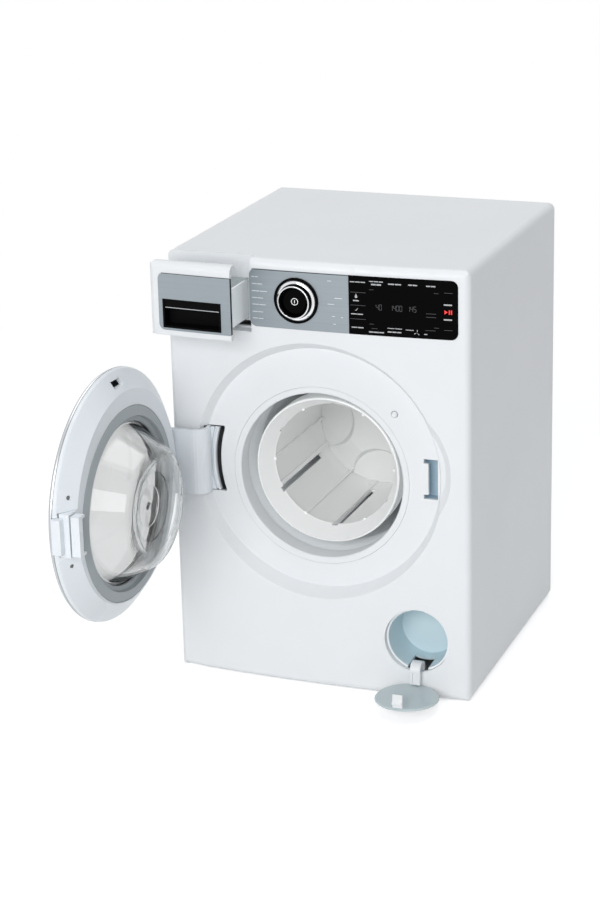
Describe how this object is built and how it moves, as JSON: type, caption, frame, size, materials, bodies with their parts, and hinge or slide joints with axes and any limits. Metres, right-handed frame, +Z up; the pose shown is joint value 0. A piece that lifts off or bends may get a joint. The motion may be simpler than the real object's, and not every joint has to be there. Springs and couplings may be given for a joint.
{
  "type": "toy washing machine",
  "caption": "Toy front-loading washing machine with a hinged porthole door, spinning drum, detergent drawer, turning knob and filter flap.",
  "frame": {"origin": "centre of the flat base that it stands on", "axes": "+Z up, front (door) faces -Y, +X to the right of the front"},
  "size_m": [0.1964, 0.3249, 0.26],
  "materials": {
    "white_shell": "satin moulded plastic",
    "white_door": "satin moulded plastic",
    "pale_grey": "matte moulded plastic",
    "drum_white": "satin moulded plastic",
    "tray_white": "matte moulded plastic",
    "light_blue": "matte moulded plastic",
    "silver_panel": "brushed silver finish",
    "silver_ring": "satin silver finish",
    "black_gloss": "glossy black plastic",
    "black_matte": "matte black plastic",
    "chrome": "bright chrome",
    "clear": "clear plastic",
    "grey_ring": "satin grey plastic",
    "steel": "zinc-plated steel",
    "brass": "plain bearing bronze",
    "gear_nylon": "natural nylon",
    "board_green": "printed circuit board",
    "foot_rubber": "grey rubber",
    "strike_blue": "matte moulded plastic",
    "cell_jacket": "plain cell jacket"
  },
  "bodies": {
    "cabinet": {"front_panel": "white_shell", "cabinet_shell": "white_shell", "base_plate": "pale_grey", "feet": "foot_rubber", "rear_cover": "pale_grey", "cabinet_screws": "steel", "fascia_plate": "silver_panel", "display_window": "black_gloss", "knob_bezel": "black_gloss", "control_board": "board_green", "button_guide": "black_matte", "speaker": "black_matte", "opening_ring": "white_shell", "tub": "light_blue", "tub_cradle": "pale_grey", "drum_bearing": "brass", "motor_plate": "pale_grey", "motor": "steel", "latch_strike": "strike_blue", "switch_block": "black_matte", "hinge_bracket": "pale_grey", "hinge_pin": "steel", "flap_bracket": "pale_grey", "flap_pin": "steel", "filter_cup": "light_blue", "drawer_housing": "pale_grey", "battery_box": "pale_grey", "batteries": "cell_jacket", "battery_contacts": "steel"},
    "door": {"door_frame": "white_door", "door_trim_ring": "silver_ring", "door_bezel": "black_gloss", "door_pane": "clear", "window_ring": "grey_ring", "window_bowl": "clear", "door_latch": "white_door", "hinge_arm": "white_door", "door_screws": "steel"},
    "drawer": {"drawer_front": "white_shell", "drawer_trim": "silver_panel", "drawer_grip": "black_matte", "detergent_tray": "tray_white"},
    "drum": {"drum_shell": "drum_white", "drum_front_ring": "drum_white", "drum_back": "drum_white", "drum_shaft": "steel", "drum_gear": "gear_nylon"},
    "pinion": {"motor_pinion": "gear_nylon"},
    "knob": {"knob_body": "black_gloss", "knob_ring": "chrome", "knob_rim": "chrome", "knob_stem": "black_matte"},
    "start_button": {"power_button": "black_gloss"},
    "filter_flap": {"flap_disc": "white_shell", "flap_arm": "white_shell"},
    "door_switch": {"switch_pin": "white_shell"},
    "battery_lid": {"battery_cover": "pale_grey"}
  },
  "joints": [
    {"name": "door_hinge", "type": "hinge", "parent": "cabinet", "child": "door", "pos_m": [-0.08, -0.08165, 0.1345], "axis": [0, 0, 1], "range_deg": [0, 92]},
    {"name": "drawer_slide", "type": "slide", "parent": "cabinet", "child": "drawer", "axis": [0, 1, 0], "range_m": [-0.018, 0.024]},
    {"name": "drum_spin", "type": "hinge", "parent": "cabinet", "child": "drum", "pos_m": [0, 0, 0.13], "axis": [0, 1, 0], "continuous": true},
    {"name": "pinion_spin", "type": "hinge", "parent": "cabinet", "child": "pinion", "pos_m": [0, 0, 0.09235], "axis": [0, 1, 0], "continuous": true},
    {"name": "knob_turn", "type": "hinge", "parent": "cabinet", "child": "knob", "pos_m": [-0.0096, 0, 0.2373], "axis": [0, 1, 0], "continuous": true},
    {"name": "start_press", "type": "slide", "parent": "cabinet", "child": "start_button", "axis": [0, 1, 0], "range_m": [0, 0.0012], "stiffness_N_per_m": 400},
    {"name": "flap_hinge", "type": "hinge", "parent": "cabinet", "child": "filter_flap", "pos_m": [0.06, -0.0867, 0.0123], "axis": [1, 0, 0], "range_deg": [-90, 0]},
    {"name": "door_switch_press", "type": "slide", "parent": "cabinet", "child": "door_switch", "axis": [0, 1, 0], "range_m": [0, 0.0011], "stiffness_N_per_m": 300},
    {"name": "battery_lid_tilt", "type": "hinge", "parent": "cabinet", "child": "battery_lid", "pos_m": [-0.0456, 0.0874, 0.0271], "axis": [1, 0, 0], "range_deg": [-80, 0]}
  ],
  "couplings": [
    {"joint": "pinion_spin", "follows": "drum_spin", "ratio": -4}
  ]
}
